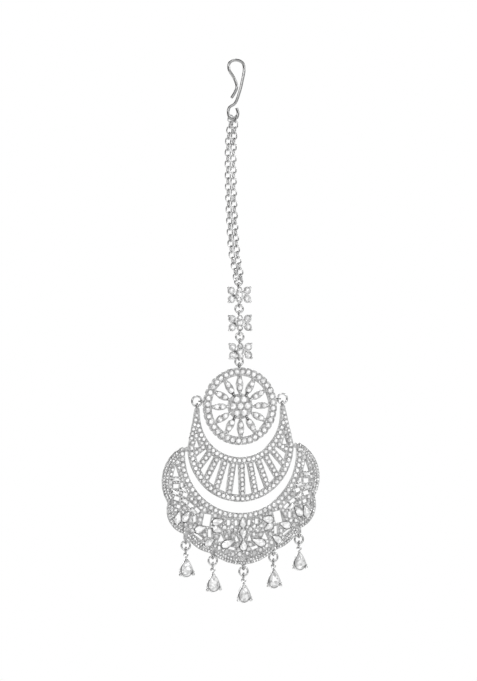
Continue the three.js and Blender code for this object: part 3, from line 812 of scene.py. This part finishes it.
# %% Pears and baguettes
PEAR, COLLAR = 0.72, 0.18
BAGUETTES = ((0.855, 0.262, 1.1, 2.3, 0), (0.86, 0.37, 1.1, 2.2, 15), (0.755, 0.35, 1.1, 1.9, 20),
             (0.745, 0.443, 1.1, 2.4, 35), (0.64, 0.53, 1.1, 2.2, 45))
PEARS = ((0.84, 0.575, 3.9, 2.2, 18), (0.735, 0.57, 3.6, 2.2, 40), (0.555, 0.678, 3.6, 2.2, 75),
         (0.325, 0.625, 3.6, 2.2, 80), (0.335, 0.69, 3.2, 2.0, 115), (0.44, 0.79, 3.4, 2.0, 55),
         (0.2, 0.808, 4.4, 2.3, 70))
MIDDLE = ((0, 0.64, 3.0, 2.0, 0), (0, 0.735, 3.0, 2.1, 180), (0, 0.83, 3.0, 2.4, 0))
WIDER, LONGER, FIELD_RISE, COLLAR_RISE = 1.24, 1.12, 0.68, 0.2


def on_lobes(row, side):
    """The place of a table's row, in the right half for side 1 and mirrored for side -1."""
    return PLUMB + side * row[0] * LOBE_WIDE / 2, OUTER_TOP_Z - row[1] * LOBE_TALL


def turned(place, u, v, angle):
    """The spot u across and v up from a place, turned about it."""
    x, z = place
    return (x + u * math.cos(angle) - v * math.sin(angle),
            z + u * math.sin(angle) + v * math.cos(angle))


def field_place(row, side):
    x, z = on_lobes(row, side)
    return at(x, PLATE_FRONT, z, -side * math.radians(row[4]))


def field(name, rows, sides, pear, halves=BOTH, square=0.0):
    """Large stones, each in a low collar whose dark tone is painted shade around the stone."""
    stones, collars = [], []
    for _, _, long, wide, _ in rows:
        full_wide, full_long = wide * (WIDER - 0.2 * square), long * LONGER
        stones.append(cut_stone("stone", full_wide, FIELD_RISE, sides, 0.5, pear, full_long, square))
        collars.append(cut_stone("collar", full_wide + COLLAR, COLLAR_RISE, sides, 0.94, pear,
                                 full_long + COLLAR, square))
    for word, models, look in (("stones", stones, large_stone), ("collars", collars, collar_painted_shade)):
        made = []
        for row, model in zip(rows, models):
            made += copies(model, [field_place(row, side) for side in halves])
        dress(settle(joined(f"{name}_{word}", made)), look, CRESCENT)


field("baguette", BAGUETTES, 8, 0.0, square=0.85)
field("pear", PEARS, 12, PEAR)
field("middle_pear", MIDDLE, 12, PEAR, (1,))

# %% [markdown]
# ## Pavé between the large stones
# A setter fills what is left of the plate with the largest stones that still fit, and then with
# smaller ones. The same is done here: a fine grid of spots is tried, each spot's free room is
# measured to the plate's edge, to its openings and to the stones already set, and the roomiest
# spots are filled first. The result is the same each time, because nothing in it is random.

# %% Measure the room at many spots at once
def gap_to_way(spots, corners):
    """Distance from each spot to the nearest edge of a closed outline."""
    best = np.full(len(spots), 1e9)
    for a, b in zip(corners, corners[1:] + corners[:1]):
        a, edge = np.array(a), np.array(b) - np.array(a)
        share = np.clip((spots - a) @ edge / max(edge @ edge, 1e-9), 0, 1)
        best = np.minimum(best, np.linalg.norm(spots - a - share[:, None] * edge, axis=1))
    return best


def within(spots, corners):
    """Whether each spot lies inside a closed outline."""
    inside = np.zeros(len(spots), bool)
    for (ax, az), (bx, bz) in zip(corners, corners[1:] + corners[:1]):
        if az != bz:
            crosses = (spots[:, 1] > min(az, bz)) & (spots[:, 1] <= max(az, bz))
            inside ^= crosses & (spots[:, 0] < ax + (bx - ax) * (spots[:, 1] - az) / (bz - az))
    return inside


GRID, LIP, MOST = 0.22, 0.1, 500


def fill(outline, openings, taken, largest, smallest):
    """Round stones packed into an outline: the place and half width of each."""
    xs, zs = [p[0] for p in outline], [p[1] for p in outline]
    grid = np.array([(x, z) for x in np.arange(min(xs), max(xs), GRID)
                     for z in np.arange(min(zs), max(zs), GRID)])
    grid = grid[within(grid, outline)]
    room = gap_to_way(grid, outline)
    for hole in openings:
        room = np.where(within(grid, hole), -1, np.minimum(room, gap_to_way(grid, hole) - LIP))
    for x, z, reach in taken:
        room = np.minimum(room, np.linalg.norm(grid - (x, z), axis=1) - reach)
    set_here = []
    while len(set_here) < MOST:
        best = int(np.argmax(room))
        size = min(room[best], largest)
        if size < smallest:
            break
        x, z = grid[best]
        set_here.append((x, z, size))
        room = np.minimum(room, np.linalg.norm(grid - (x, z), axis=1) - size)
    return set_here


print("spots are tried every", GRID, "mm")

# %% [markdown]
# ## Room on the outer crescent
# The windows of the solid are written out again as outlines from one table, whose rows end in
# three corners or four. Each long stone counts as three circles along its length.

# %% The outer crescent's windows
WINDOWS = ((0.85, 0.19, 3.4, 2.0, 0, 3), (0.85, 0.317, 1.2, 1.8, 0, 4), (0.775, 0.309, 1.1, 0.9, 0, 4),
           (0.845, 0.418, 1.1, 1.8, 20, 4), (0.735, 0.39, 1.1, 1.6, 25, 4), (0.825, 0.485, 0.9, 1.3, 25, 4),
           (0.664, 0.483, 1.2, 1.9, 40, 4), (0.583, 0.523, 1.1, 1.9, 45, 4), (0.622, 0.594, 1.7, 1.0, 0, 4),
           (0.464, 0.607, 3.4, 2.4, 12, 4), (0.432, 0.715, 2.2, 1.1, 0, 4), (0.578, 0.735, 0.7, 3.2, 38, 4),
           (0.183, 0.636, 1.4, 1.1, 0, 4), (0.086, 0.642, 1.4, 1.0, 0, 4), (0.285, 0.757, 2.2, 2.2, 0, 3),
           (0.085, 0.765, 2.0, 1.6, 0, 3), (0.31, 0.84, 1.0, 1.0, 0, 4), (0.15, 0.85, 0.7, 2.2, 15, 4))


def window(row, side):
    _, _, long, wide, turn, corners = row
    shape = ((0, 0.5), (-0.5, -0.5), (0.5, -0.5)) if corners == 3 else (
        (-0.5, 0.5), (-0.5, -0.5), (0.5, -0.5), (0.5, 0.5))
    angle = side * math.radians(turn)
    return [turned(on_lobes(row, side), u * wide, v * long, angle) for u, v in shape]


def gem_room(row, side):
    """Three circles along a long stone."""
    _, _, long, wide, turn = row
    angle = side * math.radians(turn)
    shifts = [k * abs(long - wide) / 2 for k in (-1, 0, 1)]
    along = [(0, shift) if long > wide else (shift, 0) for shift in shifts]
    return [(*turned(on_lobes(row, side), u, v, angle), min(long, wide) / 2) for u, v in along]


outer_field = edge_row(1.8, BEAD_PITCH)
outer_field += [(x, z) for x, z, _ in arc_row(OUTER_BOW_RADIUS + 0.8, OUTER_BOW_Z, -176, -4, 1.5)]
outer_holes = [window(row, side) for row in WINDOWS for side in BOTH]
held = [spot for row in BAGUETTES + PEARS for side in BOTH for spot in gem_room(row, side)]
held += [spot for row in MIDDLE for spot in gem_room(row, 1)]
outer_fill = fill(outer_field, outer_holes, held, 0.74, 0.3)
print("windows", len(outer_holes), "stones", len(outer_fill))

# %% [markdown]
# ## Room on the inner crescent
# Its long slots lie between the bars of the fan, and a small opening lies in either corner.

# %% The inner crescent's slots
inner_right = [(PLUMB + 13.4, DISC_Z - 0.4), (PLUMB + 14.9, DISC_Z - 6.54)]
inner_field = inner_right + [(x, z) for x, z, _ in arc_row(16.1, BELLY_Z, 0, -180, 1.4)]
inner_field += [(2 * PLUMB - x, z) for x, z in inner_right[::-1]]
inner_field += [(x, z) for x, z, _ in arc_row(12.5, INNER_BOW_Z, -180, 0, 1.4)]
SLOT_TOP, SLOT_FOOT, BAR_WIDE = 14.55, 14.05, 1.9
CORNER_OUT, CORNER_DOWN, CORNER_HALF_TALL, CORNER_HALF_WIDE = 13.5, 10.2, 1.2, 0.85
half_top = (BOW_STEP * SLOT_TOP - math.degrees(BAR_WIDE)) / 2 / SLOT_TOP
half_foot = (BELLY_STEP * SLOT_FOOT - math.degrees(BAR_WIDE)) / 2 / SLOT_FOOT
inner_holes = []
for i in range(-5, 5):
    bow_at, belly_at = -90 + BOW_STEP * (i + 0.5), -90 + BELLY_STEP * (i + 0.5)
    slot = [polar(SLOT_TOP, bow_at + s * half_top, INNER_BOW_Z) for s in BOTH]
    slot += [polar(SLOT_FOOT, belly_at + s * half_foot, BELLY_Z) for s in (1, -1)]
    inner_holes.append(slot)
for side in BOTH:
    x, z = PLUMB + side * CORNER_OUT, DISC_Z - CORNER_DOWN
    foot_z = z - CORNER_HALF_TALL
    inner_holes.append([(x, z + CORNER_HALF_TALL), (x - CORNER_HALF_WIDE, foot_z),
                        (x + CORNER_HALF_WIDE, foot_z)])
inner_held = [(x, z, room) for spots, room in ((bow_row + belly_row, 0.71), (bars, 0.67), (tips, 0.6))
              for x, z, _ in spots]
inner_fill = fill(inner_field, inner_holes, inner_held, 0.7, 0.27)
print("slots and corners", len(inner_holes), "stones", len(inner_fill))

# %% [markdown]
# ## Setting the small stones
# The stones found above are sorted into four sizes, as a setter buys them, and each size is
# cut once and copied. Grains of metal then go into the gaps that are left.

# %% Set the small stones
SIZES = ((0, 0.36), (0.36, 0.48), (0.48, 0.62), (0.62, 9))


def set_fill(name, spots):
    made = []
    for low, high in SIZES:
        here = [s for s in spots if low <= s[2] < high]
        if here:
            size = sum(s[2] for s in here) / len(here)
            stone = cut_stone("stone", size * 1.94, 0.25 + size * 0.3, 8)
            made += copies(stone, [at(x, PLATE_FRONT, z) for x, z, _ in here])
    return dress(settle(joined(name, made)), pave_stone, CRESCENT)


set_fill("outer_pave", outer_fill)
set_fill("inner_pave", inner_fill)
outer_gaps = fill(outer_field, outer_holes, held + outer_fill, 0.26, 0.2)
inner_gaps = fill(inner_field, inner_holes, inner_held + inner_fill, 0.24, 0.2)
grains("outer_pave_grains", 0.46, [(x, z) for x, z, _ in outer_gaps], CRESCENT, rings=1)
grains("inner_pave_grains", 0.44, [(x, z) for x, z, _ in inner_gaps], CRESCENT, rings=1)
print("grains in the gaps", len(outer_gaps), len(inner_gaps))

# %% [markdown]
# ## Claws of the large stones
# A long stone is held by four claws at its sides and one at either end. A claw that would hang
# over an opening is left out.

# %% Claws of the large stones
CLAW_PLACES = ((0.5, 0.42), (-0.5, 0.42), (0.5, -0.42), (-0.5, -0.42), (0, 0.56), (0, -0.56))


def on_metal(spot):
    here = np.array([spot])
    return all(not within(here, hole)[0] and gap_to_way(here, hole)[0] > LIP for hole in outer_holes)


def claws_of(name, rows, halves=BOTH):
    spots = []
    for row in rows:
        _, _, long, wide, turn = row
        for side in halves:
            angle = side * math.radians(turn)
            spots += [turned(on_lobes(row, side), u * wide, v * long, angle) for u, v in CLAW_PLACES]
    return grains(name, 0.55, [spot for spot in spots if on_metal(spot)], CRESCENT)


claws_of("field_claws", BAGUETTES + PEARS)
claws_of("middle_claws", MIDDLE, (1,))

# %% [markdown]
# ## The back of the plates
# Stones of this kind sit over drilled holes, so the back shows a row of little rims with the
# point of a stone in each. The rims and points follow the same rows as the fronts. The back
# isn't in the photograph, so this is the usual way of making such a plate.

# %% Rims and points behind the stones
LIP_WIRE = 0.18


def seats(name, wide, spots, body):
    lip = jump_ring("lip", wide, LIP_WIRE, Vector(), around=14, section=5)
    lips = joined(name + "_rims", copies(lip, [at(x, PLATE_BACK, z) for x, z, *_ in spots]))
    dress(smooth(settle(lips)), bead_silver, body)
    point = cut_stone("point", wide - 0.1, 0.16, 8, 0.2)
    points = copies(point, [at(x, PLATE_BACK, z) @ HALF_ROUND for x, z, *_ in spots])
    dress(settle(joined(name + "_points", points)), pave_stone, body)


seats("disc_back", 1.15, rim + petals + hub, DISC)
seats("inner_back", 0.9, bow_row + belly_row + bars + tips, CRESCENT)
wide_fill = [spot for spot in outer_fill if spot[2] > 0.5]
seats("outer_back", 0.9, inner_row + wide_fill, CRESCENT)

# %% [markdown]
# ## The drops
# A pear stone sits in an open setting with a claw at each lower corner, and hangs by a small loop
# and an upright link from its jump ring. The setting is a pear-shaped band, and the stone has a
# crown in front and a pavilion behind, as a stone that hangs free shows both.

# %% Drops and their links
DROP_EYE_REACH, DROP_EYE_WIDE, STONE_DOWN = 0.81, 1.2, 3.0
STONE_WIDE, STONE_LONG = 4.1, 5.6
CLAW_X, CLAW_Z = 1.95, -2.05
SMALL_CLAWS = ((0, 2.7), (-2.0, -1.3), (2.0, -1.3))


def make_drop(number):
    low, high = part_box(f"drop_{number}")
    x = (low.x + high.x) / 2 / MM
    eye_z = high.z / MM - DROP_EYE_REACH
    middle = eye_z - DROP_EYE_WIDE / 2 - STONE_DOWN
    band = cut_stone("band", 4.6, 0.95, 24, 0.97, PEAR, 5.9)
    band.data.transform(at(x, BACK + 0.48, middle))
    front = cut_stone("front", STONE_WIDE, 1.0, 12, 0.52, PEAR, STONE_LONG)
    front.data.transform(at(x, BACK - 0.4, middle))
    rear = cut_stone("rear", STONE_WIDE, 0.95, 12, 0.4, PEAR, STONE_LONG)
    rear.data.transform(at(x, BACK + 0.42, middle) @ HALF_ROUND)
    metal_parts = [band, loop_wire(Vector((x, BACK, eye_z)), DROP_EYE_WIDE, False)]
    claw, small = bead("claw", 0.95), bead("claw", 0.6)
    metal_parts += copies(claw, [at(x + s * CLAW_X, BACK - 0.5, middle + CLAW_Z) for s in BOTH])
    metal_parts += copies(small, [at(x + u, BACK - 0.5, middle + v) for u, v in SMALL_CLAWS])
    setting = joined(f"drop_setting_{number}", metal_parts)
    dress(smooth(settle(setting)), bead_silver, CRESCENT, [f"drop_{number}"])
    stone = joined(f"drop_stone_{number}", [front, rear])
    dress(settle(stone), drop_stone, CRESCENT)
    place = node_centre(f"drop_link_{number}")
    link = jump_ring(f"upright_link_{number}", 1.08, 0.42, place, True, 2.18, 24, 8)
    dress(smooth(settle(link)), wire_silver, CRESCENT, [f"drop_link_{number}"])


for number in range(1, 6):
    make_drop(number)

# %% [markdown]
# ## The plates that stay
# The disc and the crescents keep their solids, whose openings and edges are right. They only get the
# plate's finish, whose darker tone is painted shade between the stones.

# %% Finish of the plates
for node in ("disc", "crescents"):
    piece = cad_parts[node]
    piece.data.materials.clear()
    piece.data.materials.append(plate_silver_painted_shade)
    print(node, "keeps its solid")

# %% [markdown]
# ## The floor
# The photograph shows the jewel on white with no shadow. A chalky pale floor lies so far below
# that none shows.

# %% Floor
FLOOR_SIZE, FLOOR_Z = 3, -0.75
bpy.ops.mesh.primitive_plane_add(size=FLOOR_SIZE, location=(0, 0, FLOOR_Z))
floor = named("floor")
pick_faces(floor, lambda face: True)
bpy.ops.mesh.subdivide(number_cuts=8)
bpy.ops.object.mode_set(mode="OBJECT")
in_place(floor)
pale, pale_nodes, _ = finish("pale_floor")
values(pale_nodes["Principled BSDF"], {"Base Color": (0.97, 0.97, 0.97, 1), "Roughness": 0.9,
                                       "Specular IOR Level": 0.0})
floor.data.materials.append(pale)
floor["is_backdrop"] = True
print("floor", FLOOR_SIZE, "m wide, at", FLOOR_Z)

# %% [markdown]
# ## Soft lights
# Four large lamps stand at both sides, above and behind, all turned to the middle of the jewel, so
# that facets and wire catch broad highlights.

# %% Lights
def soft_light(name, place, size, power):
    bpy.ops.object.light_add(type="AREA", location=place)
    lamp = bpy.context.active_object
    lamp.name = name
    lamp.data.size = size
    lamp.data.energy = power
    towards = Vector((0, 0, -0.08)) - Vector(place)
    lamp.rotation_euler = towards.to_track_quat("-Z", "Y").to_euler()
    print(name, power, "W")


soft_light("left_soft", (-0.55, -0.6, 0.25), 0.3, 1.1)
soft_light("right_soft", (0.6, -0.45, 0.15), 0.2, 0.7)
soft_light("top_soft", (0.05, -0.2, 0.7), 0.25, 0.8)
soft_light("rear_soft", (0.2, 0.7, 0.2), 0.4, 1.0)

# %% [markdown]
# ## The room around
# The room is plain white, apart from what polished metal and stones mirror. They see screens
# with dark gaps between them, which gives them their greys. What they see in front and behind is
# bright and what they see to the sides, above and below is dim, so wire darkens at its edges.

# %% World
world = bpy.data.worlds.new("studio")
bpy.context.scene.world = world
world.use_nodes = True
sky, air = world.node_tree.nodes, world.node_tree.links
plain = values(sky["Background"], {"Color": (1, 1, 1, 1), "Strength": 1.0})
mirrored, choose = sky.new("ShaderNodeBackground"), sky.new("ShaderNodeMixShader")
where, way_seen = sky.new("ShaderNodeTexCoord"), sky.new("ShaderNodeSeparateXYZ")
path = sky.new("ShaderNodeLightPath")
screens = values(sky.new("ShaderNodeTexNoise"), {"Scale": 2.6, "Detail": 1.0})
contrast = values(sky.new("ShaderNodeMapRange"), {"From Min": 0.42, "From Max": 0.56,
                                                  "To Min": 0.03, "To Max": 1.0})
sides_dim = values(sky.new("ShaderNodeMapRange"), {"From Min": 0.15, "From Max": 0.7,
                                                   "To Min": 0.16, "To Max": 1.3})
in_line, shaded = sky.new("ShaderNodeMath"), sky.new("ShaderNodeMath")
in_line.operation, shaded.operation = "ABSOLUTE", "MULTIPLY"
wire_up(air, (where, "Generated", screens, "Vector"), (screens, "Fac", contrast, "Value"),
        (where, "Generated", way_seen, "Vector"), (way_seen, "Y", in_line, 0),
        (in_line, "Value", sides_dim, "Value"), (contrast, "Result", shaded, 0),
        (sides_dim, "Result", shaded, 1), (shaded, "Value", mirrored, "Color"),
        (path, "Is Glossy Ray", choose, "Fac"), (plain, "Background", choose, 1),
        (mirrored, "Background", choose, 2))
air.new(choose.outputs["Shader"], sky["World Output"].inputs["Surface"])
bpy.context.scene.view_settings.view_transform = "Standard"
print("world", world.name)

# %% [markdown]
# ## The camera
# The camera stands to the left of the jewel at its own height and leans a little. Its lens is
# worked out from the picture's height in pixels and from the millimetres that each pixel shows.

# %% Camera
AZIMUTH, ROLL, DISTANCE = math.radians(-19), math.radians(-1.2), 0.6
AIM_X, AIM_Z = PLUMB - 0.4, -81.05
PIXELS_TALL, MM_PER_PIXEL, SENSOR = 681, 0.29, 24
back = Vector((math.sin(AZIMUTH), -math.cos(AZIMUTH), 0))
bpy.ops.object.camera_add(location=Vector((AIM_X * MM, 0, AIM_Z * MM)) + back * DISTANCE)
camera = bpy.context.active_object
camera.rotation_mode = "QUATERNION"
level = (-back).to_track_quat("-Z", "Y")
camera.rotation_quaternion = level @ Matrix.Rotation(ROLL, 3, "Z").to_quaternion()
camera.data.sensor_fit = "VERTICAL"
camera.data.sensor_height = SENSOR
camera.data.lens = SENSOR * DISTANCE / (PIXELS_TALL * MM_PER_PIXEL * MM)
camera.data.clip_start = 0.01
bpy.context.scene.camera = camera
print("camera lens", round(camera.data.lens, 1))

# %% [markdown]
# ## Sizes
# The box that holds the dressed jewel is printed, in millimetres. The dressed jewel has
# to stay inside the solids' box.

# %% Print the size
bpy.context.view_layer.update()
low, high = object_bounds()
print("visual box", [round(v / MM, 2) for v in (*low, *high)])
